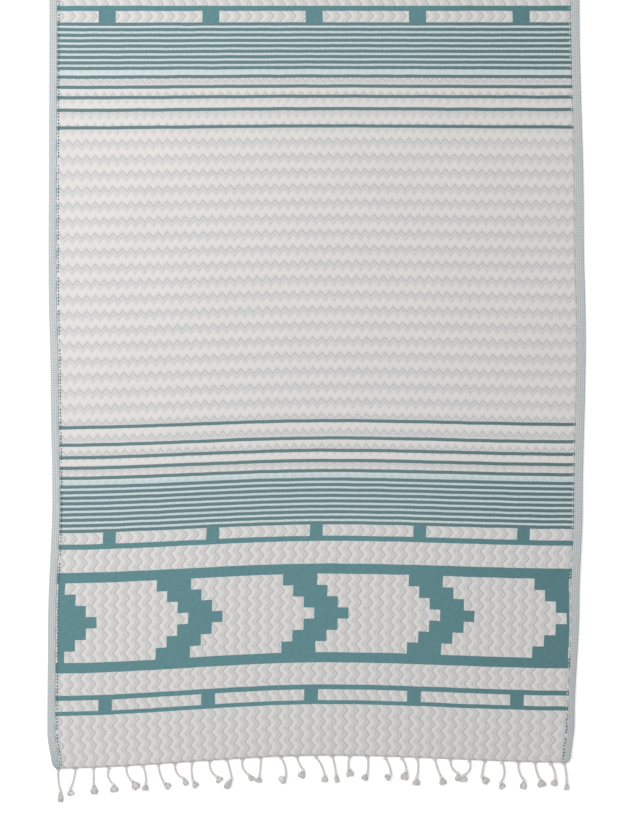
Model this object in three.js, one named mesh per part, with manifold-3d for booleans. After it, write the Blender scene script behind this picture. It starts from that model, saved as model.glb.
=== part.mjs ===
// A flat-woven bath towel with a knotted fringe at both ends, laid out face up on the ground.
// Millimetres, +Z up. X runs across the towel, Y along it, and the origin is the middle of the
// towel on the ground. The cloth is described flat, as u across and v along, and planPoint says
// where each flat point lies, because the laid-out towel is pulled a little out of square.
import * as THREE from "three";
import { mergeVertices } from "three/addons/utils/BufferGeometryUtils.js";
import Module from "manifold-3d";

const CUT_WIDTH = 1000; // flat cloth, selvage to selvage
const CUT_LENGTH = 1790; // flat cloth, end to end along the middle
const CLOTH_THICKNESS = 2.4; // double weave
const HEM_WIDTH = 16; // turned and stitched side hems
const HEM_THICKNESS = 3.4;
const SEAM_INSET = 2.2; // stitch line, inside the hem
const SEAM_WIDTH = 1.2;
const SEAM_HEIGHT = 0.8;
const GAP = 0.3; // clearance between touching pieces
const SAME_POINT = 1e-4; // points of a shape this close together are one point
const CORNER_RADIUS = 12;
const CORNER_STEP = 4; // distance between points of an outline, round a corner
const SIDE_STEP = 70; // distance between points of an outline, along the towel
const PANEL_STEP = 30; // and across the end of the cloth

const CORD_RADIUS = 2.5; // twisted fringe cord
const CORD_STEP = 7; // distance between rings of a cord
const KNOT_RADIUS = 3.4;
const KNOT_LENGTH = 6;
const KNOT_SHOULDER = 1.5; // from either end of a knot to where it has its full girth
const NECK_RADIUS = 3; // where the yarn leaves the knot
const TUFT_FLATNESS = 0.5; // height of a lying tuft over its width
const TIP_WIDTH = 0.4; // half the width of a tuft at its tip over its full width
const TASSEL_SIDES = 6;
const ROOT_WEB = 2; // height and depth of the bar that joins a pair of far tassels

// How far each selvage lies from its flat place, positive towards +X, at distances along the towel.
const LEFT_DRIFT = [
  [-895, 8],
  [-830, -1],
  [-640, 0],
  [-400, 8],
  [-200, 5],
  [0, 1],
  [500, 2.5],
  [895, 5],
];
const RIGHT_DRIFT = [
  [-895, -29],
  [-820, -22],
  [-600, -13],
  [-420, -7],
  [-120, -1],
  [100, -5],
  [500, -13],
  [895, -9],
];
// How far the selvages run past the middle of the cloth towards -Y, at the near and the far end.
const SAG_LEFT = { near: 24, far: -7 };
const SAG_RIGHT = { near: 13, far: -4 };
const SAG_CENTRE = 25; // the cloth's least-pulled line, across
const TUCK = 3.5; // how much narrower the right hem gets towards the near end
const TUCK_ALONG = { from: -540, to: -760 }; // where along the towel it does so
const TUCK_REACH = 60; // width of the cloth that is drawn along with the hem's inner edge

// One row for each tassel of the near end, from -X to +X: its place across, the way its cord
// leaves the cloth, the way it enters the knot and the way the tuft points, in degrees from
// straight out and positive towards +X, then the lengths of cord and tuft and the tuft's width.
const TASSELS = [
  [-488, -5, 15, 0, 38, 23, 10],
  [-455, -3, -25, 15, 37, 14, 13],
  [-420, 0, 0, 8, 28, 20, 12],
  [-390, -25, 50, 8, 31, 17, 14],
  [-357, -5, 45, 40, 27, 20, 15],
  [-325, 25, -5, -3, 31, 15, 11],
  [-295, 3, 30, 50, 33, 17, 12],
  [-263, -10, 65, 25, 31, 17, 9],
  [-230, -10, 15, 35, 33, 15, 12],
  [-196, -10, 55, 40, 31, 14, 14],
  [-163, 20, 10, -30, 32, 24, 11],
  [-133, -15, 55, 32, 31, 15, 11],
  [-98, 2, -10, -10, 32, 14, 12],
  [-59, 35, -2, -45, 33, 18, 14],
  [-28, 10, 40, -22, 25, 18, 12],
  [8, 42, 12, 3, 35, 16, 11],
  [40, 18, 6, 12, 31, 18, 9],
  [74, -20, 5, 15, 20, 17, 15],
  [108, 8, -8, -30, 28, 17, 12],
  [142, 32, 8, -60, 31, 15, 12],
  [174, 38, 5, -15, 22, 20, 13],
  [204, 12, -15, 0, 34, 16, 13],
  [238, 12, 25, 20, 33, 17, 12],
  [268, -8, 62, -4, 28, 17, 10],
  [304, 27, -63, 8, 29, 15, 11],
  [334, -15, -8, 50, 26, 19, 12],
  [367, 30, -35, 35, 38, 14, 12],
  [399, -8, 40, -10, 33, 19, 11],
  [431, 2, 30, 15, 30, 17, 15],
  [461, 35, 2, -15, 27, 16, 11],
  [487, 15, 0, 0, 34, 16, 9],
];
const FAR_SHIFT = 16; // the far end wears the same tassels, dealt out in another order

const HALF_WIDTH = CUT_WIDTH / 2;
const HALF_LENGTH = CUT_LENGTH / 2;
const PANEL_EDGE = HALF_WIDTH - HEM_WIDTH;

const LEFT = -1; // the two selvages, as directions along X
const RIGHT = 1;
const NEAR = -1; // the two ends, as directions along Y
const FAR = 1;

const wasm = await Module();
wasm.setup();

const smooth = (t) => t * t * (3 - 2 * t);
const clamp01 = (t) => Math.min(1, Math.max(0, t));

// Value between knots [[place, value], ...], level at every knot.
function eased(knots, at) {
  const next = knots.findIndex(([place]) => place >= at);
  if (next === 0) return knots[0][1];
  if (next < 0) return knots[knots.length - 1][1];
  const [[a, from], [b, to]] = [knots[next - 1], knots[next]];
  return from + (to - from) * smooth((at - a) / (b - a));
}

// Moves a flat point near a corner of the cloth inwards, so that the corner is round.
function roundCorner(u, v) {
  const a = Math.abs(u) - (HALF_WIDTH - CORNER_RADIUS);
  const b = Math.abs(v) - (HALF_LENGTH - CORNER_RADIUS);
  if (a <= 0 || b <= 0) return [u, v];
  const keep = Math.max(a, b) / Math.hypot(a, b);
  return [u - Math.sign(u) * a * (1 - keep), v - Math.sign(v) * b * (1 - keep)];
}

// How far the cloth at (u, v) is pulled towards -Y.
function sagAt(u, v) {
  const side = u < SAG_CENTRE ? SAG_LEFT : SAG_RIGHT;
  const reach = u < SAG_CENTRE ? HALF_WIDTH + SAG_CENTRE : HALF_WIDTH - SAG_CENTRE;
  const share = clamp01((v + HALF_LENGTH) / CUT_LENGTH);
  const most = side.near + (side.far - side.near) * share;
  return most * smooth(clamp01(Math.abs(u - SAG_CENTRE) / reach));
}

// How far a tuck moves the cloth at (u, v) towards +X: most at the inner edge of the right hem.
function tuckAt(u, v, tuck) {
  const fromCloth = smooth(clamp01((u - PANEL_EDGE + TUCK_REACH) / TUCK_REACH));
  const toSelvage = 1 - smooth(clamp01((u - PANEL_EDGE) / HEM_WIDTH));
  const along = clamp01((v - TUCK_ALONG.from) / (TUCK_ALONG.to - TUCK_ALONG.from));
  return tuck * fromCloth * toSelvage * smooth(along);
}

// Where the flat point (u, v) of the cloth lies on the ground.
function planPoint(flatU, flatV, tuck = TUCK) {
  const [u, v] = roundCorner(flatU, flatV);
  const across = (u + HALF_WIDTH) / CUT_WIDTH;
  const drift = (1 - across) * eased(LEFT_DRIFT, v) + across * eased(RIGHT_DRIFT, v);
  return new THREE.Vector2(u + drift + tuckAt(u, v, tuck), v - sagAt(u, v));
}

// Numbers from one end to the other, in equal steps of about the given size.
function steps(from, to, size) {
  const count = Math.max(1, Math.round(Math.abs(to - from) / size));
  return Array.from({ length: count + 1 }, (_, i) => from + ((to - from) * i) / count);
}

// A slab of cloth between two lines along the towel, from the fold line to one end of it.
function clothSlab({ uFrom, uTo, end, bottom = 0, thickness, endStep }) {
  const side = [
    ...steps(SIDE_STEP, HALF_LENGTH - CORNER_RADIUS, SIDE_STEP),
    ...steps(HALF_LENGTH - CORNER_RADIUS, HALF_LENGTH, CORNER_STEP).slice(1),
  ];
  const foldPoint = (u) => new THREE.Vector2(planPoint(u, 0).x, end * GAP);
  const endLine = steps(uFrom, uTo, endStep).slice(1, -1);
  const outline = [
    foldPoint(uFrom),
    ...side.map((v) => planPoint(uFrom, end * v)),
    ...endLine.map((u) => planPoint(u, end * HALF_LENGTH)),
    ...side.reverse().map((v) => planPoint(uTo, end * v)),
    foldPoint(uTo),
  ];
  const slab = new THREE.ExtrudeGeometry(new THREE.Shape(outline), {
    depth: thickness,
    bevelEnabled: false,
  });
  return slab.translate(0, 0, bottom);
}

// The line that a tassel lies along: a point and a heading at each millimetre from its root.
function tasselLine(root, end, [, rootLean, knotLean, tuftLean, cord, tuft]) {
  const line = [];
  const at = root.clone();
  for (let s = 0; s <= cord + tuft; s += 1) {
    const inCord = rootLean + (knotLean - rootLean) * clamp01(s / cord);
    const lean = inCord + (tuftLean - inCord) * smooth(clamp01((s - cord) / KNOT_LENGTH));
    const angle = THREE.MathUtils.degToRad(lean);
    const heading = new THREE.Vector2(Math.sin(angle), end * Math.cos(angle));
    line.push({ at: at.clone(), heading });
    at.add(heading);
  }
  return line;
}

// Rings of a tassel from root to tip: distance along it, half width, and height over width.
function tasselRings([, , , , cord, tuft, width]) {
  const knotEnd = cord + KNOT_LENGTH;
  const cordRings = steps(0, cord, CORD_STEP).map((s) => ({ s, radius: CORD_RADIUS, flat: 1 }));
  return [
    ...cordRings,
    { s: cord + KNOT_SHOULDER, radius: KNOT_RADIUS, flat: 1 },
    { s: knotEnd - KNOT_SHOULDER, radius: KNOT_RADIUS, flat: 1 },
    { s: knotEnd, radius: NECK_RADIUS, flat: 1 },
    { s: (knotEnd + cord + tuft) / 2, radius: width / 2, flat: TUFT_FLATNESS },
    { s: cord + tuft, radius: width * TIP_WIDTH, flat: TUFT_FLATNESS },
  ];
}

// A tassel as one closed shape: cord, knot and tuft turned on a straight axis, then bent along
// the tassel's line and let down until every ring of it touches the ground.
function tasselShape(root, end, row) {
  const line = tasselLine(root, end, row);
  const rings = tasselRings(row);
  const last = rings.length - 1;
  const profile = [
    new THREE.Vector2(0, rings[0].s),
    ...rings.map(({ s, radius }) => new THREE.Vector2(radius, s)),
    new THREE.Vector2(0, rings[last].s),
  ];
  const shape = new THREE.LatheGeometry(profile, TASSEL_SIDES);
  const position = shape.getAttribute("position");
  for (let i = 0; i < position.count; i++) {
    const ring = rings[Math.min(Math.max((i % profile.length) - 1, 0), last)];
    const { at, heading } = line[Math.floor(ring.s)];
    const ahead = ring.s - Math.floor(ring.s);
    const side = position.getX(i);
    position.setXYZ(
      i,
      at.x + ahead * heading.x + side * heading.y,
      at.y + ahead * heading.y - side * heading.x,
      (position.getZ(i) + ring.radius) * ring.flat,
    );
  }
  return shape;
}

// Where a tassel leaves the cloth, clear of the end of it however much the cord leans. The tuck
// doesn't move it, because it is bound to the end of the cloth under the hem.
function tasselRoot(end, [across, rootLean]) {
  const root = planPoint(across, end * HALF_LENGTH, 0);
  const lean = Math.abs(THREE.MathUtils.degToRad(rootLean));
  root.y += end * (2 * GAP + CORD_RADIUS * Math.sin(lean));
  return root;
}

// Tassel rows of the far end: its own places across, with the other columns dealt out again.
function farTassels() {
  return TASSELS.map(([across], i) => {
    const [, ...lie] = TASSELS[(i * FAR_SHIFT + 1) % TASSELS.length];
    return [-across, ...lie];
  }).reverse();
}

function toSolid(geometry) {
  const bare = geometry.clone().deleteAttribute("normal").deleteAttribute("uv");
  const { index, attributes } = mergeVertices(bare, SAME_POINT);
  return new wasm.Manifold(
    new wasm.Mesh({
      numProp: 3,
      vertProperties: attributes.position.array,
      triVerts: new Uint32Array(index.array),
    }),
  );
}

function toGeometry(solid) {
  const { vertProperties, triVerts } = solid.getMesh();
  const geometry = new THREE.BufferGeometry();
  geometry.setAttribute("position", new THREE.BufferAttribute(vertProperties, 3));
  geometry.setIndex(new THREE.BufferAttribute(triVerts, 1));
  geometry.computeVertexNormals();
  return geometry;
}

// Two neighbouring tassels joined at their roots by a short bar of the cloth's bound end.
function tasselPair(end, rowA, rowB) {
  const [rootA, rootB] = [tasselRoot(end, rowA), tasselRoot(end, rowB)];
  const run = rootB.clone().sub(rootA);
  const web = new THREE.BoxGeometry(run.length(), ROOT_WEB, ROOT_WEB);
  web.rotateZ(run.angle());
  web.translate((rootA.x + rootB.x) / 2, (rootA.y + rootB.y) / 2, ROOT_WEB / 2);
  web.translate(0, end * ROOT_WEB / 2, 0);
  const pair = toSolid(tasselShape(rootA, end, rowA)).add(
    toSolid(tasselShape(rootB, end, rowB)),
  );
  return toGeometry(pair.add(toSolid(web)));
}

function material(color, roughness) {
  return new THREE.MeshStandardMaterial({ color, roughness, metalness: 0 });
}

const clothMaterial = material(0xe4e1de, 0.9);
const hemMaterial = material(0xc9d1d4, 0.9);
const seamMaterial = material(0x4f7f86, 0.8);
const yarnMaterial = material(0xe6e3e0, 0.95);

const towel = new THREE.Group();

function addPiece(name, geometry, surface) {
  const mesh = new THREE.Mesh(geometry, surface);
  mesh.name = name;
  towel.add(mesh);
}

// One half of the towel: the cloth, and a hem with its line of stitching along each selvage.
function addHalf(half, end) {
  const panel = {
    uFrom: -(PANEL_EDGE - GAP),
    uTo: PANEL_EDGE - GAP,
    end,
    thickness: CLOTH_THICKNESS,
    endStep: PANEL_STEP,
  };
  addPiece(`${half}_panel`, clothSlab(panel), clothMaterial);
  for (const [name, side] of [["left", LEFT], ["right", RIGHT]]) {
    const middle = (side * (PANEL_EDGE + HALF_WIDTH)) / 2;
    const hem = {
      uFrom: middle - HEM_WIDTH / 2,
      uTo: middle + HEM_WIDTH / 2,
      end,
      thickness: HEM_THICKNESS,
      endStep: CORNER_STEP,
    };
    const stitching = side * (PANEL_EDGE - SEAM_INSET);
    const seam = {
      uFrom: stitching - SEAM_WIDTH / 2,
      uTo: stitching + SEAM_WIDTH / 2,
      end,
      bottom: CLOTH_THICKNESS + GAP,
      thickness: SEAM_HEIGHT,
      endStep: SEAM_WIDTH,
    };
    addPiece(`${half}_${name}_hem`, clothSlab(hem), hemMaterial);
    addPiece(`${half}_${name}_seam`, clothSlab(seam), seamMaterial);
  }
}

const twoDigits = (i) => String(i + 1).padStart(2, "0");

addHalf("near", NEAR);
addHalf("far", FAR);

TASSELS.forEach((row, i) => {
  const tassel = tasselShape(tasselRoot(NEAR, row), NEAR, row);
  addPiece(`near_tassel_${twoDigits(i)}`, tassel, yarnMaterial);
});

// The far fringe is paired up, which leaves one tassel over.
const far = farTassels();
for (let i = 0; i + 1 < far.length; i += 2) {
  const pair = tasselPair(FAR, far[i], far[i + 1]);
  addPiece(`far_tassels_${twoDigits(i)}_${twoDigits(i + 1)}`, pair, yarnMaterial);
}
const lastRow = far[far.length - 1];
const lastTassel = tasselShape(tasselRoot(FAR, lastRow), FAR, lastRow);
addPiece(`far_tassel_${twoDigits(far.length - 1)}`, lastTassel, yarnMaterial);

export default towel;
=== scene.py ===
import math
import random

import bpy
import numpy as np
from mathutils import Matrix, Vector


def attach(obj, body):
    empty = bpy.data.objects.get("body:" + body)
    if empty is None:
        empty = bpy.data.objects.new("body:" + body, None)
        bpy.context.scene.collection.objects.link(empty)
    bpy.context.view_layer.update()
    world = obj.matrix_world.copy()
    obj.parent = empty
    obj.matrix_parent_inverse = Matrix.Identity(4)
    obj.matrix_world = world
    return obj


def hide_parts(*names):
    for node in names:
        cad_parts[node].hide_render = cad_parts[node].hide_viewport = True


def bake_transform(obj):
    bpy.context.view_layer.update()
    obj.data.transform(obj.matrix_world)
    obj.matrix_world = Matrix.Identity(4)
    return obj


# A flat-woven bath towel with a knotted fringe at both ends, laid out face up on a pale floor.
# Sizes are in millimetres until a mesh is made, which is in metres. The cloth is described as it
# was cut, with u across it and v along it, and laid_out() says where each cut point lies.

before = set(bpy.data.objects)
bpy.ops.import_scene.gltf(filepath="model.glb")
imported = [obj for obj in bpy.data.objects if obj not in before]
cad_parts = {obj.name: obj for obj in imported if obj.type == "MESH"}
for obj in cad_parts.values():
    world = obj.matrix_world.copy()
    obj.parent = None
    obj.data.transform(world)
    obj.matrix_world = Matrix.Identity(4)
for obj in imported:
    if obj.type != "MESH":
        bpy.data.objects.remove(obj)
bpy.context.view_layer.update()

MM = 0.001
SMALLEST = 1e-9  # keeps a length of nothing from being divided by

# ---------- Sizes of the towel, as in the CAD ----------
HALF_WIDTH = 500
HALF_LENGTH = 895
HEM_WIDTH = 16
CORNER_RADIUS = 12
PANEL_EDGE = HALF_WIDTH - HEM_WIDTH

# How far each selvage lies from its flat place, towards +X, at distances along the towel.
LEFT_DRIFT = [(-895, 8), (-830, -1), (-640, 0), (-400, 8), (-200, 5), (0, 1), (500, 2.5), (895, 5)]
RIGHT_DRIFT = [
    (-895, -29),
    (-820, -22),
    (-600, -13),
    (-420, -7),
    (-120, -1),
    (100, -5),
    (500, -13),
    (895, -9),
]
# How far the selvages run past the middle of the cloth towards -Y, at the near and the far end.
SAG_LEFT = (24, -7)
SAG_RIGHT = (13, -4)
SAG_CENTRE = 25  # the cloth's least-pulled line, across
TUCK = 3.5  # how much narrower the right hem gets towards the near end
TUCK_ALONG = (540, 760)  # how far from the middle, towards the near end, it does so
TUCK_REACH = 60  # width of the cloth that is drawn along with the hem's inner edge

# One row for each tassel of the near end, from -X to +X: its place across, the way its cord
# leaves the cloth, the way it enters the knot and the way the tuft points, in degrees from
# straight out and positive towards +X, then the lengths of cord and tuft and the tuft's width.
TASSELS = [
    (-488, -5, 15, 0, 38, 23, 10),
    (-455, -3, -25, 15, 37, 14, 13),
    (-420, 0, 0, 8, 28, 20, 12),
    (-390, -25, 50, 8, 31, 17, 14),
    (-357, -5, 45, 40, 27, 20, 15),
    (-325, 25, -5, -3, 31, 15, 11),
    (-295, 3, 30, 50, 33, 17, 12),
    (-263, -10, 65, 25, 31, 17, 9),
    (-230, -10, 15, 35, 33, 15, 12),
    (-196, -10, 55, 40, 31, 14, 14),
    (-163, 20, 10, -30, 32, 24, 11),
    (-133, -15, 55, 32, 31, 15, 11),
    (-98, 2, -10, -10, 32, 14, 12),
    (-59, 35, -2, -45, 33, 18, 14),
    (-28, 10, 40, -22, 25, 18, 12),
    (8, 42, 12, 3, 35, 16, 11),
    (40, 18, 6, 12, 31, 18, 9),
    (74, -20, 5, 15, 20, 17, 15),
    (108, 8, -8, -30, 28, 17, 12),
    (142, 32, 8, -60, 31, 15, 12),
    (174, 38, 5, -15, 22, 20, 13),
    (204, 12, -15, 0, 34, 16, 13),
    (238, 12, 25, 20, 33, 17, 12),
    (268, -8, 62, -4, 28, 17, 10),
    (304, 27, -63, 8, 29, 15, 11),
    (334, -15, -8, 50, 26, 19, 12),
    (367, 30, -35, 35, 38, 14, 12),
    (399, -8, 40, -10, 33, 19, 11),
    (431, 2, 30, 15, 30, 17, 15),
    (461, 35, 2, -15, 27, 16, 11),
    (487, 15, 0, 0, 34, 16, 9),
]
FAR_SHIFT = 16  # the far end wears the same tassels, dealt out in another order
NEAR = -1  # the two ends, as directions along Y
FAR = 1

CORD_RADIUS = 2.5
KNOT_RADIUS = 3.4
KNOT_LENGTH = 6
TASSEL_CLEARANCE = 0.6

# ---------- Sizes of the pattern, in cut millimetres from the middle of the towel ----------
STRIPE_HALF_WIDTH = 3.0
LONE_STRIPES = [273.5, 305.5, 328.5, 347.5, 366]
GRADED_START = 377
GRADED_FIRST = 382
GRADED_PITCH = 10.1
TINT_LEAD = 8  # how far the tinted ground runs out towards the lone stripes
BANDS_START = 466  # where the lengthwise zigzags take over from the crosswise ones
BAR_LAP = 2  # how far a teal figure runs on under the bars beside it
BARS = [(487, 496.5), (538.6, 557.5), (703.2, 722), (763, 772), (792, 799.5)]
BLOCK_PITCH = 195
# Rows of blocks: from and to, then a block's half width at the near and at the far end.
BLOCK_ROWS = [(466, 487, 12, 16), (772, 792, 13, 14)]
ARROW_START = 557.5
ARROW_ROW = 20.8
ARROW_ROWS = 7
ARROW_STEP = 20.2  # how far each row stands back from the next one in
ARROW_PITCH = 237
ARROW_WIDTH = 64.5
ARROW_TAIL = 1.6  # place across of the tail of the middle row of one arrow
ARROW_FIRST = -470  # everything to the left of this is teal
ARROW_LAST = 480.5  # and everything further out than this is off-white

# Crosswise zigzags of the middle field, and lengthwise ones of the bands and the ends. A zigzag
# is a dark line with a fainter one beside it, and a puffed rib between it and the next.
ROW_PITCH, ROW_START, ROW_ECHO = 28.4, 19.5, 8.6
ROW_TOOTH, ROW_REACH = 16.8, 8.8
COLUMN_PITCH, COLUMN_START, COLUMN_ECHO = 20.8, 3.0, 7.0
COLUMN_TOOTH, COLUMN_REACH = 22.2, 7.8
ZIGZAG_HALF_LINE = 1.3
ZIGZAG_SOFT = 1.1  # of the edges of a line
BETWEEN_SOFT = 1.0  # and of the ground between it and its echo
SWITCH_SOFT = 0.5  # and of the change from one way of running to the other
ECHO_LEAST = 0.4  # strength of the fainter line midway between two bends
ECHO_BENDS = (0.25, 0.45)  # where along half a tooth it grows to its full strength

# Heights of the weave, where the top of a wide rib is 1.
LOW_RIB_TOP = 0.55
LINE_DENT = 0.5  # share of its height that a rib loses along a line
ECHO_DENT = 0.25
FIGURE_TOP = 0.25


# ---------- Fields ----------
# Formulas that work both on arrays of points and as the nodes of a material.
class Field:
    """A number at every point of a surface, made by a material node."""

    def __init__(self, socket):
        self.socket = socket

    def __add__(self, other):
        return calculate("ADD", self, other)

    def __radd__(self, other):
        return calculate("ADD", other, self)

    def __sub__(self, other):
        return calculate("SUBTRACT", self, other)

    def __rsub__(self, other):
        return calculate("SUBTRACT", other, self)

    def __mul__(self, other):
        return calculate("MULTIPLY", self, other)

    def __rmul__(self, other):
        return calculate("MULTIPLY", other, self)

    def __truediv__(self, other):
        return calculate("DIVIDE", self, other)


def feed(slot, value):
    """Gives a node's input a field, or a plain number or colour."""
    if isinstance(value, Field):
        slot.id_data.links.new(value.socket, slot)
    elif isinstance(value, tuple):
        slot.default_value = value[: len(slot.default_value)]
    else:
        slot.default_value = value


def calculate(operation, *values):
    tree = next(x.socket.id_data for x in values if isinstance(x, Field))
    node = tree.nodes.new("ShaderNodeMath")
    node.operation = operation
    for slot, value in zip(node.inputs, values):
        feed(slot, value)
    return Field(node.outputs[0])


def size_of(x):
    return calculate("ABSOLUTE", x) if isinstance(x, Field) else np.abs(x)


def whole(x):
    return calculate("FLOOR", x) if isinstance(x, Field) else np.floor(x)


def greatest(x, *others):
    for other in others:
        field = isinstance(x, Field) or isinstance(other, Field)
        x = calculate("MAXIMUM", x, other) if field else np.maximum(x, other)
    return x


def least(x, other):
    return calculate("MINIMUM", x, other) if isinstance(x, Field) else np.minimum(x, other)


def nearest(x, pitch):
    """How far x is from the nearest multiple of pitch."""
    if isinstance(x, Field):
        return calculate("PINGPONG", x, pitch / 2)
    return np.abs((x + pitch / 2) % pitch - pitch / 2)


def ramp(x, low, high):
    """0 below low, 1 above high, and smooth between."""
    if not isinstance(x, Field):
        t = np.clip((x - low) / (high - low), 0, 1)
        return t * t * (3 - 2 * t)
    node = x.socket.id_data.nodes.new("ShaderNodeMapRange")
    node.interpolation_type = "SMOOTHSTEP"
    feed(node.inputs["Value"], x)
    feed(node.inputs["From Min"], low)
    feed(node.inputs["From Max"], high)
    return Field(node.outputs["Result"])


def part_way(first, last, share):
    """From first, where share is 0, to last, where it is 1."""
    return first + (last - first) * share


def within(x, low, high, soft):
    """1 between low and high and 0 outside, over an edge of twice soft."""
    return ramp(x, low - soft, low + soft) * (1 - ramp(x, high - soft, high + soft))


def under(x, limit, soft):
    """1 where x is less than limit, over an edge of twice soft."""
    return 1 - ramp(x, limit - soft, limit + soft)


# ---------- The pattern ----------
# away is the distance from the middle of the towel, along it.
def arrows(u, away, soft):
    """1 on the stepped teal arrows, which all point towards +u."""
    row = whole((away - ARROW_START) / ARROW_ROW)
    most = (ARROW_ROWS - 1) / 2
    back = least(size_of(row - most), most) * ARROW_STEP
    middle = u + back - ARROW_TAIL - ARROW_WIDTH / 2
    arrow = under(nearest(middle, ARROW_PITCH), ARROW_WIDTH / 2, soft)
    filled = greatest(arrow, under(u, ARROW_FIRST, soft)) * under(size_of(u), ARROW_LAST, soft)
    end = ARROW_START + ARROW_ROWS * ARROW_ROW
    return filled * within(away, ARROW_START - BAR_LAP, end + BAR_LAP, soft)


def stripes_at(v, soft):
    """1 on the stripes, lone or closely set."""
    away = size_of(v)
    half = STRIPE_HALF_WIDTH
    lone = [within(away, place - half, place + half, soft) for place in LONE_STRIPES]
    graded = under(nearest(away - GRADED_FIRST, GRADED_PITCH), half, soft)
    return greatest(graded * within(away, GRADED_START, BANDS_START + BAR_LAP, soft), *lone)


def figures_at(u, v, soft):
    """1 on the bars, the rows of blocks and the arrows."""
    away = size_of(v)
    bars = [within(away, *bar, soft) for bar in BARS]
    in_far_half = ramp(v, -1, 1)
    blocks = []
    for low, high, near_half_width, far_half_width in BLOCK_ROWS:
        half_width = part_way(near_half_width, far_half_width, in_far_half)
        block = under(nearest(u, BLOCK_PITCH), half_width, soft)
        blocks.append(block * within(away, low - BAR_LAP, high + BAR_LAP, soft))
    return greatest(arrows(u, away, soft), *bars, *blocks)


def teal_at(u, v, soft):
    """1 where the face of the cloth is teal, and 0 where it is off-white."""
    return greatest(stripes_at(v, soft), figures_at(u, v, soft))


def graded_at(v, soft):
    """1 among the closely set stripes, where the ground between them is tinted."""
    return within(size_of(v), GRADED_START - TINT_LEAD, BANDS_START, soft)


def zigzag(position, bend, pitch, echo):
    """The line, its echo, the ground between them and the two ribs, each from 0 to 1.

    bend is from -0.5 to 0.5 along a tooth. The echo is strongest where it turns.
    """
    line = under(nearest(position, pitch), ZIGZAG_HALF_LINE, ZIGZAG_SOFT)
    faint = under(nearest(position + echo, pitch), ZIGZAG_HALF_LINE, ZIGZAG_SOFT)
    faint = faint * part_way(ECHO_LEAST, 1, ramp(size_of(bend), *ECHO_BENDS))
    between = under(nearest(position + echo / 2, pitch), echo / 2, BETWEEN_SOFT)
    half_rib = (pitch - echo) / 2
    rib = 1 - ramp(nearest(position - half_rib, pitch), 0, half_rib)
    low_rib = 1 - ramp(nearest(position + echo / 2, pitch), 0, echo / 2)
    return line, faint, between, rib, low_rib


def crosswise(u, v):
    tooth = nearest(u, ROW_TOOTH) / (ROW_TOOTH / 2) - 0.5
    return zigzag(v - ROW_START - tooth * ROW_REACH, tooth, ROW_PITCH, ROW_ECHO)


def lengthwise(u, v):
    tooth = ramp(nearest(v, COLUMN_TOOTH), 0, COLUMN_TOOTH / 2) - 0.5
    return zigzag(u - COLUMN_START - tooth * COLUMN_REACH, tooth, COLUMN_PITCH, COLUMN_ECHO)


def motif(u, v):
    """The zigzags of whichever way they run here."""
    banded = ramp(size_of(v), BANDS_START - SWITCH_SOFT, BANDS_START + SWITCH_SOFT)
    pairs = zip(crosswise(u, v), lengthwise(u, v))
    return [row * (1 - banded) + column * banded for row, column in pairs]


def relief(u, v, soft):
    """Height of the weave over its valleys, from 0 to 1."""
    line, faint, _, rib, low_rib = motif(u, v)
    puffed = greatest(rib, low_rib * LOW_RIB_TOP) * (1 - line * LINE_DENT) * (1 - faint * ECHO_DENT)
    return part_way(puffed, FIGURE_TOP, teal_at(u, v, soft))


# ---------- How the cloth lies ----------
def eased(knots, at):
    """Value between knots (place, value), level at every knot."""
    places, values = (np.array(x, float) for x in zip(*knots))
    i = np.clip(np.searchsorted(places, at) - 1, 0, len(places) - 2)
    return part_way(values[i], values[i + 1], ramp(at, places[i], places[i + 1]))


def sag(u, v):
    """How far the cloth is pulled towards -Y."""
    share = (v + HALF_LENGTH) / (2 * HALF_LENGTH)
    to_left = ramp(SAG_CENTRE - u, 0, HALF_WIDTH + SAG_CENTRE)
    to_right = ramp(u - SAG_CENTRE, 0, HALF_WIDTH - SAG_CENTRE)
    return part_way(*SAG_LEFT, share) * to_left + part_way(*SAG_RIGHT, share) * to_right


def rounded(u, v):
    """Moves points near a corner of the cloth inwards, so that the corner is round."""
    a = np.maximum(np.abs(u) - (HALF_WIDTH - CORNER_RADIUS), 0)
    b = np.maximum(np.abs(v) - (HALF_LENGTH - CORNER_RADIUS), 0)
    pull = 1 - np.maximum(a, b) / np.maximum(np.hypot(a, b), SMALLEST)
    return u - np.sign(u) * a * pull, v - np.sign(v) * b * pull


def laid_out(u, v, tuck=TUCK):
    """Where the cut point (u, v) lies, as x and y."""
    u, v = rounded(u, v)
    across = (u + HALF_WIDTH) / (2 * HALF_WIDTH)
    drift = (1 - across) * eased(LEFT_DRIFT, v) + across * eased(RIGHT_DRIFT, v)
    by_hem = ramp(u, PANEL_EDGE - TUCK_REACH, PANEL_EDGE) * (1 - ramp(u, PANEL_EDGE, HALF_WIDTH))
    drift = drift + tuck * by_hem * ramp(-v, *TUCK_ALONG)
    return u + drift, v - sag(u, v)


# Soft waves, by half of their height and by the distance in which they turn by a radian.
LONG_WAVE_HEIGHT, LONG_WAVE_LENGTH = 0.45, 88
LONG_WAVE_SWING, LONG_WAVE_SWING_LENGTH = 0.9, 150  # how its crests wander across the towel
CROSS_WAVE_HEIGHT, CROSS_WAVE_LENGTH, CROSS_WAVE_SLANT = 0.4, 105, 210
CALM_REACH = 60  # the waves die out as they come this near to the fold
CORNER_CURLS = [(-1, 1.4, 70), (1, 0.8, 60)]  # side, height and reach, at the near end


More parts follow.
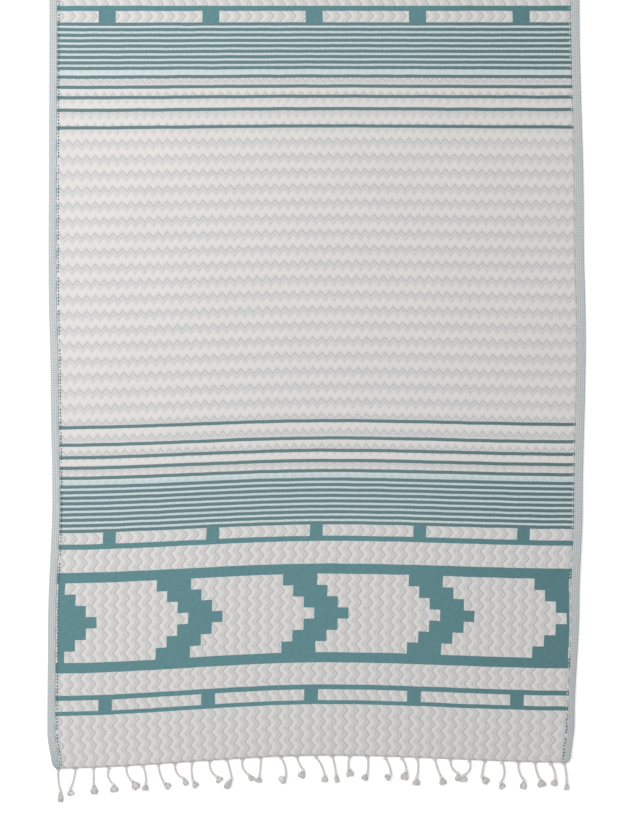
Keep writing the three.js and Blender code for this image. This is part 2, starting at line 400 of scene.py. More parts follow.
def lift(u, v):
    """Height that the laid cloth rises over the floor by: never less than nothing."""
    swing = LONG_WAVE_SWING * np.sin(u / LONG_WAVE_SWING_LENGTH)
    long_wave = 1 + np.sin(v / LONG_WAVE_LENGTH + swing)
    cross_wave = 1 + np.sin(u / CROSS_WAVE_LENGTH + v / CROSS_WAVE_SLANT)
    height = LONG_WAVE_HEIGHT * long_wave + CROSS_WAVE_HEIGHT * cross_wave
    height = height * ramp(np.abs(v), 0, CALM_REACH)
    for side, high, reach in CORNER_CURLS:
        from_corner = np.hypot(u - side * HALF_WIDTH, v + HALF_LENGTH)
        height = height + high * (1 - ramp(from_corner, 0, reach))
    return height


# ---------- Meshes ----------
def new_mesh(name, points, faces, materials, slots=None, cut=None):
    """A mesh object from points in millimetres. cut holds each point's (u, v) on the cut cloth."""
    mesh = bpy.data.meshes.new(name)
    mesh.from_pydata((np.asarray(points, float) * MM).tolist(), [], faces)
    for material in materials:
        mesh.materials.append(material)
    if slots is not None:
        mesh.polygons.foreach_set("material_index", slots)
    if cut is not None:
        attribute = mesh.attributes.new("cut", "FLOAT_VECTOR", "POINT")
        flat = np.column_stack([cut, np.zeros(len(cut))])
        attribute.data.foreach_set("vector", flat.astype(np.float32).ravel())
    mesh.polygons.foreach_set("use_smooth", [True] * len(faces))
    mesh.update()
    made = bpy.data.objects.new(name, mesh)
    bpy.context.scene.collection.objects.link(made)
    return made


def tube_faces(rings, corners, first=0):
    """Faces of a closed tube whose rings turn to the left, seen along it."""
    faces = []
    for i in range(rings - 1):
        for k in range(corners):
            a = first + i * corners + k
            b = first + i * corners + (k + 1) % corners
            faces.append([a, a + corners, b + corners, b])
    start = [first + k for k in range(corners)]
    end = [first + (rings - 1) * corners + k for k in range(corners)]
    return faces + [start, end[::-1]]


def grid_faces(rows, columns, first=0):
    """Faces of a grid of points, seen from the side where the columns run to the right."""
    corner = first + np.arange(rows - 1)[:, None] * columns + np.arange(columns - 1)[None, :]
    corner = corner.ravel()
    return np.column_stack([corner, corner + 1, corner + columns + 1, corner + columns]).tolist()


def inside_out(faces):
    return [face[::-1] for face in faces]


FOLD_REACH = 7  # cloth this near to the middle bends when the towel is folded
FOLD_STEP = 1  # distance between the mesh's crosswise lines there


def lines_along(step):
    """Places of a mesh's crosswise lines from end to end, closer together at the fold."""
    count = 2 * round((HALF_LENGTH - FOLD_REACH) / step / 2)
    outer = np.linspace(FOLD_REACH, HALF_LENGTH, count + 1)
    fold = np.arange(-FOLD_REACH, FOLD_REACH, FOLD_STEP)
    return np.concatenate([-outer[::-1][:-1], fold, outer])


# ---------- Cloth ----------
CLOTH_STEP_ALONG = 5.2  # distance between neighbouring points of the mesh
CLOTH_STEP_ACROSS = 4.6
CLOTH_OVERLAP = 1.2  # how far the cloth reaches under the hem
CLOTH_UNDERSIDE = 0.3  # height of the reverse under a valley of the weave
CLOTH_FACE = 1.7  # height of a valley
PUFF_HEIGHT = 0.9  # of a rib over the valleys
PUFF_HOLLOW = 0.3  # how far the reverse rises under a rib
RELIEF_SOFT = 2.0
END_REACH = 6  # the cloth gets thinner this near to its ends
END_FLATNESS = 0.6  # share of their height that ribs lose there
END_DROP = 0.4  # how far the face comes down
END_RISE = 0.25  # and the reverse goes up


def cloth_points(across, along, top):
    u, v = (x.ravel() for x in np.meshgrid(across, along))
    x, y = laid_out(u, v)
    at_end = ramp(np.abs(v), HALF_LENGTH - END_REACH, HALF_LENGTH)
    ribs = relief(u, v, RELIEF_SOFT)
    if top:
        z = CLOTH_FACE + PUFF_HEIGHT * ribs * (1 - END_FLATNESS * at_end) - END_DROP * at_end
    else:
        z = CLOTH_UNDERSIDE + END_RISE * at_end + PUFF_HOLLOW * ribs
    return np.column_stack([x, y, z + lift(u, v)]), np.column_stack([u, v])


def rim_faces(top, bottom):
    """Joins the rims of the face and of the reverse, which has every other point of the face."""
    faces = []
    sides = [
        (top[0, :], bottom[0, :]),
        (top[:, -1], bottom[:, -1]),
        (top[-1, ::-1], bottom[-1, ::-1]),
        (top[::-1, 0], bottom[::-1, 0]),
    ]
    for upper, lower in sides:
        for i in range(len(lower) - 1):
            a, middle, b = (int(k) for k in upper[2 * i : 2 * i + 3])
            faces.append([b, middle, a, int(lower[i]), int(lower[i + 1])])
    return faces


def build_cloth(face_material, reverse_material):
    """One closed sheet: a finer grid for the face, a coarser one for the reverse, and a rim."""
    edge = PANEL_EDGE + CLOTH_OVERLAP
    across = np.linspace(-edge, edge, 2 * round(edge / CLOTH_STEP_ACROSS) + 1)
    along = lines_along(CLOTH_STEP_ALONG)
    upper, upper_cut = cloth_points(across, along, top=True)
    lower, lower_cut = cloth_points(across[::2], along[::2], top=False)
    top = np.arange(len(upper)).reshape(len(along), -1)
    bottom = len(upper) + np.arange(len(lower)).reshape(len(along[::2]), -1)
    face = grid_faces(*top.shape)
    reverse = inside_out(grid_faces(*bottom.shape, first=len(upper)))
    rim = rim_faces(top, bottom)
    return new_mesh(
        "woven_cloth",
        np.vstack([upper, lower]),
        face + reverse + rim,
        [face_material, reverse_material],
        [0] * len(face) + [1] * len(reverse) + [0] * len(rim),
        np.vstack([upper_cut, lower_cut]),
    )


# ---------- Hems ----------
HEM_THICKNESS = 3.0
HEM_STEP = 6  # distance between neighbouring sections of the mesh
# Section of a hem: share of its width out from its inner edge, and share of its thickness.
HEM_SECTION = [
    (0.00, 0.35),
    (0.03, 0.85),
    (0.12, 1.00),
    (0.35, 0.93),
    (0.60, 0.93),
    (0.85, 1.00),
    (0.96, 0.85),
    (1.00, 0.50),
    (0.96, 0.15),
    (0.85, 0.02),
    (0.45, 0.02),
    (0.03, 0.05),
]


def build_hem(name, side, material):
    along = lines_along(HEM_STEP)
    places = [side * (PANEL_EDGE + share * HEM_WIDTH) for share, _ in HEM_SECTION]
    heights = [share * HEM_THICKNESS for _, share in HEM_SECTION]
    u, v = (x.ravel() for x in np.meshgrid(places, along))
    x, y = laid_out(u, v)
    z = np.tile(heights, len(along)) + lift(side * PANEL_EDGE, v)
    faces = tube_faces(len(along), len(HEM_SECTION))
    if side > 0:
        faces = inside_out(faces)
    points = np.column_stack([x, y, z])
    return new_mesh(name, points, faces, [material], cut=np.column_stack([u, v]))


# ---------- Thread and yarn ----------
UP = np.array([0.0, 0.0, 1.0])
ACROSS = np.array([1.0, 0.0, 0.0])


def unit(vectors):
    return vectors / np.maximum(np.linalg.norm(vectors, axis=-1, keepdims=True), SMALLEST)


def wound(side, turns):
    """Directions that turn round a line, from its sideways direction up and over."""
    angle = 2 * math.pi * turns
    return side * np.cos(angle)[:, None] + UP * np.sin(angle)[:, None]


class Strands:
    """Swept tubes gathered into one mesh. All points are in millimetres."""

    def __init__(self):
        self.points = []
        self.faces = []
        self.slots = []

    def sweep(self, centres, outs, wide, high=None, corners=5, slot=0):
        """A closed tube along centres. outs point out of it sideways, where it is wide."""
        outs = np.broadcast_to(outs, centres.shape)
        wide = np.broadcast_to(wide, len(centres))
        high = wide if high is None else high
        heading = unit(np.gradient(centres, axis=0))
        up = unit(np.cross(outs, heading))
        out = np.cross(heading, up)
        turns = np.arange(corners) * 2 * math.pi / corners
        rings = (
            centres[:, None, :]
            + out[:, None, :] * (np.cos(turns)[None, :] * wide[:, None])[:, :, None]
            + up[:, None, :] * (np.sin(turns)[None, :] * high[:, None])[:, :, None]
        )
        first = sum(len(points) for points in self.points)
        faces = tube_faces(len(centres), corners, first)
        self.points.append(rings.reshape(-1, 3))
        self.faces += faces
        self.slots += [slot] * len(faces)

    def build(self, name, materials):
        return new_mesh(name, np.vstack(self.points), self.faces, materials, self.slots)


STITCH_PITCH = 6.0
STITCH_LENGTH = 3.4
STITCH_RADIUS = 1.15
STITCH_INSET = 2.6
STITCH_SEAT = 0.6  # height of a stitch over the valleys, as a share of a rib's
STITCH_MARGIN = 5  # between the end of the cloth and the first stitch
MISSED_STITCHES = 0.1  # share of them that the weave swallows
CORNER_STITCHES = 80  # on the right the teal thread only shows this near to the corner
# Along a stitch: share of its length, height over its seat and share of its full radius.
STITCH_SHAPE = [(0, -0.6, 0.5), (0.2, 0.1, 1), (0.5, 0.3, 1), (0.8, 0.1, 1), (1, -0.6, 0.5)]
# No two stitches are quite alike: from the least to the most.
STITCH_LENGTHS = (0.8, 1.2)
STITCH_SLANTS = (0.1, 0.9)
STITCH_RADII = (0.8, 1.1)


def build_stitches(name, side, thread, pale_thread):
    """A row of short, uneven stitches along the inner edge of a hem."""
    chance = random.Random(name)
    row = Strands()
    share, arch, girth = np.array(STITCH_SHAPE).T
    for place in np.arange(STITCH_MARGIN - HALF_LENGTH, HALF_LENGTH - STITCH_MARGIN, STITCH_PITCH):
        if chance.random() < MISSED_STITCHES:
            continue
        v = place + STITCH_LENGTH * chance.uniform(*STITCH_LENGTHS) * share
        u = side * (PANEL_EDGE - STITCH_INSET) + chance.uniform(*STITCH_SLANTS) * (share - 0.5)
        x, y = laid_out(u, v)
        z = lift(u, v) + CLOTH_FACE + PUFF_HEIGHT * STITCH_SEAT + arch
        radius = STITCH_RADIUS * chance.uniform(*STITCH_RADII) * girth
        hidden = side > 0 and place > CORNER_STITCHES - HALF_LENGTH
        row.sweep(np.column_stack([x, y, z]), ACROSS, radius, slot=1 if hidden else 0)
    return row.build(name, [thread, pale_thread])


# ---------- Fringe ----------
class TasselLine:
    """The line that a tassel lies along."""

    def __init__(self, end, row):
        across, root_lean, knot_lean, tuft_lean, self.cord, self.tuft, self.width = row
        x, y = laid_out(np.float64(across), np.float64(end * HALF_LENGTH), tuck=0)
        y += end * (TASSEL_CLEARANCE + CORD_RADIUS * abs(math.sin(math.radians(root_lean))))
        self.s = np.arange(self.cord + self.tuft + 1.0)
        in_cord = part_way(root_lean, knot_lean, np.clip(self.s / self.cord, 0, 1))
        past_knot = ramp((self.s - self.cord) / KNOT_LENGTH, 0, 1)
        lean = np.radians(part_way(in_cord, tuft_lean, past_knot))
        self.heading = np.column_stack([np.sin(lean), end * np.cos(lean)])
        steps = np.vstack([[x, y], self.heading[:-1]])
        self.at = np.cumsum(steps, axis=0)

    def place(self, s, z):
        """Points at distances s along the line and heights z, and the sideways direction there."""
        at = [np.interp(s, self.s, self.at[:, k]) for k in range(2)]
        heading = [np.interp(s, self.s, self.heading[:, k]) for k in range(2)]
        beyond = np.minimum(s, 0) + np.maximum(s - self.s[-1], 0)
        x = at[0] + beyond * heading[0]
        y = at[1] + beyond * heading[1]
        centres = np.column_stack([x, y, np.broadcast_to(z, s.shape)])
        side = np.column_stack([heading[1], -heading[0], np.zeros(len(s))])
        return centres, unit(side)


PLY_RADIUS = 1.35
PLY_OFFSET = 1.12  # of the middle of a ply from the middle of its cord
PLY_PITCH = 9
CORD_STEP = 1.0  # distance between the rings of a ply
CORD_BURIED = 1.5  # how far a cord runs on into the cloth and into the knot
CORD_SWELL = 5  # distance from the cloth in which a cord comes to its full girth and height
CORD_RISE = (-5, 1)  # places from the start of the knot between which it rises to its middle
ROOT_HEIGHT = 1.3  # of a cord where it leaves the cloth
ROOT_OFFSET = 0.6  # share of its offset that a ply has there
ROOT_GIRTH = 0.65  # and of its radius


def add_cord(strands, line):
    """Two plies twisted round each other, from inside the end of the cloth to the knot."""
    s = np.arange(-CORD_BURIED, line.cord + CORD_BURIED, CORD_STEP)
    swollen = ramp(s, -CORD_BURIED, CORD_SWELL)
    risen = ramp(s - line.cord, *CORD_RISE)
    z = part_way(ROOT_HEIGHT, CORD_RADIUS, swollen) + (KNOT_RADIUS - CORD_RADIUS) * risen
    centres, side = line.place(s, z)
    offset = PLY_OFFSET * part_way(ROOT_OFFSET, 1, swollen)[:, None]
    radius = PLY_RADIUS * part_way(ROOT_GIRTH, 1, swollen)
    for start in (0, 0.5):
        out = wound(side, s / PLY_PITCH + start)
        strands.sweep(centres + out * offset, out, radius)


GATHER_PLACES = (-1.0, -0.55, 0.55, 1.0)  # of the threads, as shares of their reach
GATHER_REACH = 4.5
GATHER_LENGTH = 7
GATHER_BURIED = 1.2  # how far the threads reach into the cloth
GATHER_HEIGHTS = (1.2, 2.0)  # at the cloth and at the cord
GATHER_RADIUS = 0.5
GATHER_POINTS = 6


def add_gather(strands, line):
    """Warp threads that leave the end of the cloth and gather into the cord."""
    s = np.linspace(-GATHER_BURIED, GATHER_LENGTH, GATHER_POINTS)
    centres, side = line.place(s, part_way(*GATHER_HEIGHTS, ramp(s, 0, GATHER_LENGTH)))
    apart = GATHER_REACH * (1 - ramp(s, -GATHER_BURIED, GATHER_LENGTH))
    for place in GATHER_PLACES:
        spread = place * apart
        strands.sweep(centres + side * spread[:, None], side, GATHER_RADIUS, corners=4)


KNOT_TURNS = 2.3
KNOT_POINTS = 34
KNOT_MARGINS = (0.6, 1.0)  # between the windings and the two ends of the knot
KNOT_CLEARANCE = 0.1  # between the knot and the floor
WINDING_RADIUS = 1.2


def add_knot(strands, line):
    """The cord wound round itself."""
    turns = np.linspace(0, KNOT_TURNS, KNOT_POINTS)
    first = line.cord + KNOT_MARGINS[0]
    last = line.cord + KNOT_LENGTH - KNOT_MARGINS[1]
    s = part_way(first, last, turns / KNOT_TURNS)
    centres, side = line.place(s, KNOT_RADIUS + KNOT_CLEARANCE)
    out = wound(side, turns)
    centres = centres + out * (KNOT_RADIUS - WINDING_RADIUS)
    strands.sweep(centres, out, WINDING_RADIUS, corners=6)


TUFT_FLATNESS = 0.4  # height of a lying tuft over its width
TUFT_FULLNESS = 1.2  # brushed yarn spreads wider than the solid it stands for
TUFT_NECK = 1.6  # half its width where it leaves the knot
TUFT_OPENING = (-0.15, 0.6)  # shares of its length between which it spreads
TUFT_CLOSING = (0.7, 1.05)  # and between which it narrows
TUFT_NARROWING = 0.35
TUFT_SETTLING = 0.5  # share of its length in which it comes down from the knot
TUFT_BURIED = 1  # how far it reaches into the knot
TUFT_STRANDS = 46

# Along the core of a tuft: share of its length, and share of its full size there.
CORE_SHAPE = [
    (0, 1),
    (0.12, 1),
    (0.28, 1),
    (0.45, 1),
    (0.6, 1),
    (0.75, 1),
    (0.87, 0.92),
    (0.95, 0.75),
    (1, 0.4),
]
CORE_WIDTH = 0.86  # of the tuft's width
CORE_HEIGHT = 0.8
CORE_CLEARANCE = 0.3  # between the core and the floor


def tuft_half_width(line, share):
    """Half width of a tuft at shares of its length from the knot to the tip."""
    widest = line.width / 2 * TUFT_FULLNESS
    closing = 1 - TUFT_NARROWING * ramp(share, *TUFT_CLOSING)
    return part_way(TUFT_NECK, widest, ramp(share, *TUFT_OPENING) * closing)


def add_tuft(strands, line, chance):
    """Brushed-out yarn below the knot: a soft core with loose strands over it."""
    start = line.cord + KNOT_LENGTH - TUFT_BURIED
    length = line.tuft - KNOT_LENGTH + TUFT_BURIED
    share, fullness = np.array(CORE_SHAPE).T
    half = tuft_half_width(line, share) * fullness
    half_high = half * TUFT_FLATNESS * CORE_HEIGHT
    height = part_way(KNOT_RADIUS, half_high + CORE_CLEARANCE, ramp(share, 0, TUFT_SETTLING))
    centres, side = line.place(start + length * share, height)
    strands.sweep(centres, side, half * CORE_WIDTH, half_high, corners=10)
    for _ in range(TUFT_STRANDS):
        add_loose_strand(strands, line, start, length, chance)


STRAND_POINTS = 7
STRAND_RADII = (0.62, 0.35)  # at the knot and at the tip
STRAND_LOWEST = 0.5  # height of the middle of a strand that lies on the floor
STRAND_WAVE = 0.5
# No two strands are quite alike: from the least to the most.
STRAND_DEPTHS = (0.45, 1)  # share of the tuft's section inside of it
STRAND_LENGTHS = (0.85, 1.12)  # share of the tuft's length
STRAND_TURNS = (4, 8)  # radians of waving from end to end
STRAND_STARTS = (0, 6)  # radians at which it starts


def add_loose_strand(strands, line, start, length, chance):
    angle = chance.uniform(0, 2 * math.pi)
    spread = math.sqrt(chance.uniform(*STRAND_DEPTHS))
    share = np.linspace(0, chance.uniform(*STRAND_LENGTHS), STRAND_POINTS)
    half = tuft_half_width(line, np.minimum(share, 1))
    half_high = half * TUFT_FLATNESS
    turned = share * chance.uniform(*STRAND_TURNS) + chance.uniform(*STRAND_STARTS)
    across = spread * math.cos(angle) * half + STRAND_WAVE * np.sin(turned) * share
    middle = part_way(KNOT_RADIUS, half_high, ramp(share, 0, TUFT_SETTLING))
    height = np.maximum(middle + spread * math.sin(angle) * half_high, STRAND_LOWEST)
    centres, side = line.place(start + length * share, height)
    radius = np.linspace(*STRAND_RADII, STRAND_POINTS)
    strands.sweep(centres + side * across[:, None], side, radius, corners=3)


def build_tassels(name, end, rows, material):
    """One piece of fringe: every tassel that the matching CAD node holds."""
    chance = random.Random(name)
    strands = Strands()
    for row in rows:
        line = TasselLine(end, row)
        add_gather(strands, line)
        add_cord(strands, line)
        add_knot(strands, line)
        add_tuft(strands, line, chance)
    return strands.build(name, [material])


def far_tassels():
    """Rows of the far end: its own places across, with the rest of each row dealt out again."""
    dealt = [TASSELS[(i * FAR_SHIFT + 1) % len(TASSELS)] for i in range(len(TASSELS))]
    rows = [(-own[0], *other[1:]) for own, other in zip(TASSELS, dealt)]
    return rows[::-1]


def build_fringe(material):
    """Both fringes, piece by piece, each riding on its half of the towel."""
    pieces = []
    for i, row in enumerate(TASSELS):
        piece = build_tassels(f"near_fringe_{i + 1:02d}", NEAR, [row], material)
        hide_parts(f"near_tassel_{i + 1:02d}")
        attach(piece, "near_half")
        pieces.append(piece)
    far = far_tassels()
    for i in range(0, len(far), 2):
        rows = far[i : i + 2]
        label = "_".join(f"{i + k + 1:02d}" for k in range(len(rows)))
        piece = build_tassels(f"far_fringe_{label}", FAR, rows, material)
        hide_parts(f"far_tassels_{label}" if len(rows) == 2 else f"far_tassel_{label}")
        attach(piece, "far_half")
        pieces.append(piece)
    return pieces


# ---------- Materials ----------
FULL_LIGHT = 1.32  # how bright a white surface is in the lamps


def dye(red, green, blue):
    """Reflectance of a yarn from the screen colour out of 255 that it has in the lamps."""

    def linear(channel):
        c = channel / 255
        return ((c + 0.055) / 1.055) ** 2.4 if c > 0.04045 else c / 12.92

    return (*(linear(c) / FULL_LIGHT for c in (red, green, blue)), 1)


OFF_WHITE = dye(221, 219, 217)
LINE_GREY = dye(190, 193, 194)
# painted shade for the side of a rib between a line and its echo
BETWEEN_SHADE_GREY = dye(207, 207, 207)
# painted highlight for the tops of the ribs
RIB_HIGHLIGHT_WHITE = dye(227, 224, 221)
AQUA = dye(200, 221, 223)
TEAL = dye(104, 148, 152)
DEEP_TEAL = dye(86, 131, 137)
STRIPE_TEAL = dye(103, 130, 134)
HEM_GREY = dye(216, 217, 217)
HEM_SHADE = dye(170, 181, 184)
YARN = dye(240, 236, 235)
THREAD = dye(62, 104, 110)
WHITE = (1, 1, 1, 1)

COTTON_SPECULAR = 0.25
COTTON_SHEEN_ROUGHNESS = 0.6
CLOTH_ROUGHNESS, CLOTH_SHEEN = 0.9, 0.12
YARN_ROUGHNESS, YARN_SHEEN = 0.95, 0.25
THREAD_PITCH = 1.5  # of the plain weave of the cloth and the hems


class Surface:
    """A material of woven or twisted yarn, ready to be given its colour and relief."""

    def __init__(self, name, roughness, sheen):
        self.material = bpy.data.materials.new(name)
        self.material.use_nodes = True
        self.tree = self.material.node_tree
        self.shader = self.tree.nodes["Principled BSDF"]
        self.shader.inputs["Roughness"].default_value = roughness
        self.shader.inputs["Specular IOR Level"].default_value = COTTON_SPECULAR
        self.shader.inputs["Sheen Weight"].default_value = sheen
        self.shader.inputs["Sheen Roughness"].default_value = COTTON_SHEEN_ROUGHNESS

    def cut_place(self):
        """The cut coordinates u and v, in millimetres."""
        attribute = self.tree.nodes.new("ShaderNodeAttribute")
        attribute.attribute_name = "cut"
        split = self.tree.nodes.new("ShaderNodeSeparateXYZ")
        self.tree.links.new(attribute.outputs["Vector"], split.inputs[0])
        return Field(split.outputs["X"]), Field(split.outputs["Y"])

    def object_place(self):
        """Position in millimetres, as three fields."""
        place = self.tree.nodes.new("ShaderNodeTexCoord")
        split = self.tree.nodes.new("ShaderNodeSeparateXYZ")
        self.tree.links.new(place.outputs["Object"], split.inputs[0])
        return [Field(split.outputs[k]) / MM for k in range(3)]

    def mottle(self, u, v, size):
        """Smooth noise from 0 to 1 with patches of about that size in millimetres."""
        join = self.tree.nodes.new("ShaderNodeCombineXYZ")
        feed(join.inputs["X"], u / size)
        feed(join.inputs["Y"], v / size)
        noise = self.tree.nodes.new("ShaderNodeTexNoise")
        noise.inputs["Scale"].default_value = 1.0
        noise.inputs["Detail"].default_value = 2.0
        self.tree.links.new(join.outputs[0], noise.inputs["Vector"])
        return Field(noise.outputs["Fac"])

    def mix(self, share, first, second):
        """A colour between two colours, where share is 0 for the first and 1 for the second."""
        node = self.tree.nodes.new("ShaderNodeMix")
        node.data_type = "RGBA"
        feed(node.inputs["Factor"], share)
        feed(node.inputs[6], first)
        feed(node.inputs[7], second)
        return Field(node.outputs[2])

    def shade(self, colour, brightness):
        """A colour made lighter or darker, where 1 leaves it as it is."""
        node = self.tree.nodes.new("ShaderNodeVectorMath")
        node.operation = "SCALE"
        feed(node.inputs[0], colour)
        feed(node.inputs["Scale"], brightness)
        return Field(node.outputs[0])

    def finish(self, colour, height):
        """Gives the material its colour, and its relief by a height in millimetres."""
        bump = self.tree.nodes.new("ShaderNodeBump")
        bump.inputs["Strength"].default_value = 1.0
        bump.inputs["Distance"].default_value = MM
        feed(bump.inputs["Height"], height)
        self.tree.links.new(bump.outputs["Normal"], self.shader.inputs["Normal"])
        feed(self.shader.inputs["Base Color"], colour)
        return self.material


def sine(x, pitch):
    return calculate("SINE", x * (2 * math.pi / pitch))


def threads(u, v):
    """Crossing threads of a plain weave, from -1 to 1."""
    return sine(u, THREAD_PITCH) * sine(v, THREAD_PITCH)


# Sizes of the patches in which the cloth is uneven.
JITTER_SIZE = 2.2
PATCH_SIZE = 7
WANDER_SIZE = 45
BROAD_SIZE = 120
# How far the pattern strays because of it.
WANDER_ACROSS = 2.4
WANDER_ALONG = 1.8
JITTER_REACH = 0.9

EDGE_SOFT = 0.45  # of the edge of a teal figure
HALO_REACH = 3.0  # distance from a figure in which its yarn tints the ground
GRADED_SOFT = 6
# How strongly each thing colours the ground.
LINE_STRENGTHS = (0.55, 1.05)  # where the patches are weakest and strongest
ECHO_STRENGTH = 0.55
# strength of the painted shade between a line and its echo
BETWEEN_SHADE_STRENGTH = 0.45
HALO_STRENGTH = 0.35
GRADED_STRENGTH = 0.75
TEAL_PAINTED_SHADE = 0.14  # painted shade: how much darker the teal gets towards the right, away from the lamp
# where the painted shade on the teal grows across the towel
TEAL_PAINTED_SHADE_ALONG = (100, 460)
REVERSE_LINE = 0.5  # strength of the zigzags on the reverse's teal
REVERSE_ECHO = 0.25
# How much the unevenness of the yarn lightens or darkens the cloth, and how high it stands.
WEAVE_SHADE, WEAVE_HEIGHT = 0.03, 0.05
JITTER_SHADE, JITTER_HEIGHT = 0.12, 0.12
PATCH_SHADE = 0.06
BROAD_SHADE = 0.04
# How far the ribs and the lines stand out of the mesh, which is too coarse for their edges.
RIB_HEIGHT = 0.55
LOW_RIB_HEIGHT = 0.3
LINE_DEPTH = 0.35
ECHO_DEPTH = 0.15


def ground_colour(surface, zigzags, patches, tint):
    """The off-white yarns, with the zigzags in grey, painted highlight on the ribs and painted
    shade between each line and its echo.
    """
    line, faint, between, rib, _ = zigzags
    # painted highlight on the tops of the ribs
    ground = surface.mix(rib, OFF_WHITE, RIB_HIGHLIGHT_WHITE)
    # painted shade on the side of each rib, between a line and its echo
    ground = surface.mix(between * BETWEEN_SHADE_STRENGTH, ground, BETWEEN_SHADE_GREY)
    ground = surface.mix(faint * ECHO_STRENGTH, ground, LINE_GREY)
    ground = surface.mix(line * part_way(*LINE_STRENGTHS, patches), ground, LINE_GREY)
    return surface.mix(tint, ground, AQUA)


def teal_and_painted_shade(surface, patches, narrow, u):
    """The teal yarns: greyer in the narrow stripes, with painted shade that darkens them towards
    the right.
    """
    dyed = surface.mix(patches, DEEP_TEAL, TEAL)
    dyed = surface.mix(narrow, dyed, STRIPE_TEAL)
    # painted shade: the teal darkens towards the right
    return surface.shade(dyed, 1 - TEAL_PAINTED_SHADE * ramp(u, *TEAL_PAINTED_SHADE_ALONG))


def cloth_material(name, is_reverse):
    """Double-woven cloth. The reverse has the two colours of the face the other way round."""
    surface = Surface(name, CLOTH_ROUGHNESS, CLOTH_SHEEN)
    u, v = surface.cut_place()
    wander = surface.mottle(u, v, WANDER_SIZE) - 0.5
    jitter = surface.mottle(u, v, JITTER_SIZE) - 0.5
    patches = surface.mottle(u, v, PATCH_SIZE)
    broad = surface.mottle(u, v, BROAD_SIZE) - 0.5
    woven_u = u + wander * WANDER_ACROSS + jitter * JITTER_REACH
    woven_v = v + wander * WANDER_ALONG + jitter * JITTER_REACH
    zigzags = motif(woven_u, woven_v)
    line, faint, _, rib, low_rib = zigzags
    teal = teal_at(woven_u, woven_v, EDGE_SOFT)
    if is_reverse:
        teal = 1 - teal
    halo = teal_at(woven_u, woven_v, HALO_REACH)
    graded = graded_at(woven_v, GRADED_SOFT)
    tint = greatest(halo * HALO_STRENGTH, graded * GRADED_STRENGTH)
    ground = ground_colour(surface, zigzags, patches, tint)
    narrow = stripes_at(woven_v, EDGE_SOFT) * (1 - figures_at(woven_u, woven_v, EDGE_SOFT))
    dyed = teal_and_painted_shade(surface, patches, narrow, u)
    if is_reverse:
        dyed = surface.mix(greatest(line * REVERSE_LINE, faint * REVERSE_ECHO), dyed, AQUA)
    weave = threads(u, v)
    brightness = 1 + weave * WEAVE_SHADE + jitter * JITTER_SHADE
    brightness = brightness + (patches - 0.5) * PATCH_SHADE + broad * BROAD_SHADE
    ribs = rib * RIB_HEIGHT + low_rib * LOW_RIB_HEIGHT - line * LINE_DEPTH - faint * ECHO_DEPTH
    height = (1 - teal) * ribs + weave * WEAVE_HEIGHT + jitter * JITTER_HEIGHT
    return surface.finish(surface.shade(surface.mix(teal, ground, dyed), brightness), height)


HEM_GRID = 4.0  # pitch of the fine grid of the hems
HEM_PATCH_SIZE = 5
CURL_SHADE_REACH = 65  # length of the left hem by its near corner that has painted shade where the corner curls, given as a teal tint
STAIN_WIDTH = 4  # of the streaks of teal yarn along the inner edge
STREAK_SIZE = 40
STREAK_EDGES = (0.4, 0.6)  # noise between which a streak begins and is full
# strength of the painted shade where the near-left corner curls
CURL_SHADE_STRENGTH = 0.3
EDGE_STAIN = 0.25
HEM_SHADOW = 0.06  # how much darker the right hem gets towards the near end
HEM_SHADOW_ALONG = (400, 800)
HEM_PATCH_SHADE, HEM_PATCH_HEIGHT = 0.08, 0.1
HEM_WEAVE_SHADE = 0.04
HEM_GRID_HEIGHT = 0.2


def hem_material():
    """Pale blue-grey plain weave with a fine grid."""
    surface = Surface("hem_weave", CLOTH_ROUGHNESS, CLOTH_SHEEN)
    u, v = surface.cut_place()
    towards_near = -1 * v
    grid = greatest(sine(u, HEM_GRID), sine(v, HEM_GRID))
    patches = surface.mottle(u, v, HEM_PATCH_SIZE) - 0.5
    on_left = under(u, 0, 1)
    # painted shade where the near-left corner curls, given as a teal tint
    corner = ramp(towards_near, HALF_LENGTH - CURL_SHADE_REACH, HALF_LENGTH)
    streaks = ramp(surface.mottle(u, v, STREAK_SIZE), *STREAK_EDGES)
    edge = under(size_of(u), PANEL_EDGE + STAIN_WIDTH, STAIN_WIDTH) * streaks
    # teal streaks along the inner edge, and painted shade at the curling corner
    stain_and_curl_shade = on_left * greatest(corner * CURL_SHADE_STRENGTH, edge * EDGE_STAIN)
    colour = surface.mix(ramp(grid, 0.0, 1.0), HEM_SHADE, HEM_GREY)
    colour = surface.mix(stain_and_curl_shade, colour, TEAL)
    shadow = HEM_SHADOW * (1 - on_left) * ramp(towards_near, *HEM_SHADOW_ALONG)
    brightness = 1 + patches * HEM_PATCH_SHADE + threads(u, v) * HEM_WEAVE_SHADE - shadow
    height = grid * HEM_GRID_HEIGHT + patches * HEM_PATCH_HEIGHT
    return surface.finish(surface.shade(colour, brightness), height)


FIBRE_SIZE, FIBRE_SHADE = 0.6, 0.08
YARN_PATCH_SIZE, YARN_PATCH_SHADE = 8, 0.05
FRINGE_FUZZ = 0.25
THREAD_FUZZ = 0.1


def yarn_material(name, colour, fuzz):
    """Twisted or brushed cotton yarn, with fibres as high as fuzz, in millimetres."""
    surface = Surface(name, YARN_ROUGHNESS, YARN_SHEEN)
    x, y, z = surface.object_place()
    fibres = surface.mottle(x + z, y - z, FIBRE_SIZE) - 0.5
    patches = surface.mottle(x, y, YARN_PATCH_SIZE) - 0.5
    brightness = 1 + fibres * FIBRE_SHADE + patches * YARN_PATCH_SHADE
    return surface.finish(surface.shade(colour, brightness), fibres * fuzz)


# ---------- The towel ----------
def bends_at_fold(piece):
    """Bakes the piece's placement into its mesh."""
    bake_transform(piece)


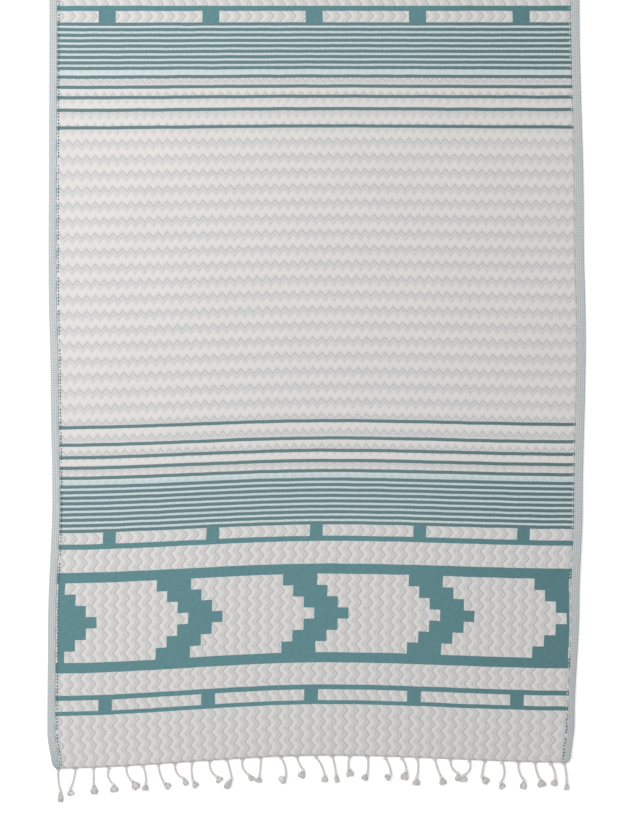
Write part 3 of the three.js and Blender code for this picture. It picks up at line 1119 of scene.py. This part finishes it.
def build_towel():
    """The cloth, and the list of every piece that is sewn to it or grows out of it."""
    yarn = yarn_material("fringe_yarn", YARN, FRINGE_FUZZ)
    thread = yarn_material("teal_thread", THREAD, THREAD_FUZZ)
    pale_thread = yarn_material("pale_thread", HEM_GREY, THREAD_FUZZ)
    hem = hem_material()
    cloth = build_cloth(cloth_material("cloth_face", False), cloth_material("cloth_reverse", True))
    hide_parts("near_panel", "far_panel")
    bends_at_fold(cloth)
    trims = []
    for name, side in (("left", -1), ("right", 1)):
        band = build_hem(f"{name}_hem", side, hem)
        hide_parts(f"near_{name}_hem", f"far_{name}_hem")
        stitches = build_stitches(f"{name}_stitches", side, thread, pale_thread)
        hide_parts(f"near_{name}_seam", f"far_{name}_seam")
        for piece in (band, stitches):
            bends_at_fold(piece)
            trims.append(piece)
    return cloth, trims + build_fringe(yarn)


# ---------- Studio, in metres ----------
FLOOR_REACH = 40
FLOOR_GLOW = 0.1  # keeps the shadows on the floor faint
GLOW_FADE = (1.5, 8)  # from where to where the glow dies out
SKY_STRENGTH = 0.88
LAMP_PLACE = (-1.6, 0.46, 1.7)
LAMP_AIM = (0, -0.2, 0)
LAMP_SIZE = 1.2
LAMP_WATTS = 31
CAMERA_PLACE = (-0.0056, -0.25, 7.0)
PICTURE_HEIGHT = 1.515  # of the floor that the picture shows
SENSOR = 36  # millimetres
CLIP_END = 200


def build_floor():
    """A white floor. Far out it is only as bright as the sky, so that no horizon shows."""
    surface = Surface("floor", roughness=1.0, sheen=0.0)
    surface.shader.inputs["Specular IOR Level"].default_value = 0.0
    surface.shader.inputs["Base Color"].default_value = WHITE
    surface.shader.inputs["Emission Color"].default_value = WHITE
    x, y, _ = surface.object_place()
    distance = calculate("SQRT", x * x + y * y) * MM
    feed(surface.shader.inputs["Emission Strength"], FLOOR_GLOW * (1 - ramp(distance, *GLOW_FADE)))
    reach = FLOOR_REACH / MM
    corners = [(-reach, -reach, 0), (reach, -reach, 0), (reach, reach, 0), (-reach, reach, 0)]
    floor = new_mesh("floor", corners, [[0, 1, 2, 3]], [surface.material])


def light_studio():
    world = bpy.data.worlds.new("studio")
    bpy.context.scene.world = world
    world.use_nodes = True
    background = world.node_tree.nodes["Background"]
    background.inputs["Color"].default_value = WHITE
    background.inputs["Strength"].default_value = SKY_STRENGTH
    data = bpy.data.lights.new("key", "AREA")
    data.shape = "SQUARE"
    data.size = LAMP_SIZE
    data.energy = LAMP_WATTS
    lamp = bpy.data.objects.new("key", data)
    bpy.context.scene.collection.objects.link(lamp)
    lamp.location = LAMP_PLACE
    lamp.rotation_mode = "QUATERNION"
    lamp.rotation_quaternion = (Vector(LAMP_AIM) - Vector(LAMP_PLACE)).to_track_quat("-Z", "Y")


def place_camera():
    data = bpy.data.cameras.new("camera")
    data.sensor_width = SENSOR
    data.lens = SENSOR * CAMERA_PLACE[2] / PICTURE_HEIGHT
    data.clip_end = CLIP_END
    camera = bpy.data.objects.new("camera", data)
    bpy.context.scene.collection.objects.link(camera)
    camera.location = CAMERA_PLACE
    bpy.context.scene.camera = camera


cloth, pieces_with_it = build_towel()
build_floor()
light_studio()
place_camera()
bpy.context.scene.view_settings.view_transform = "Standard"
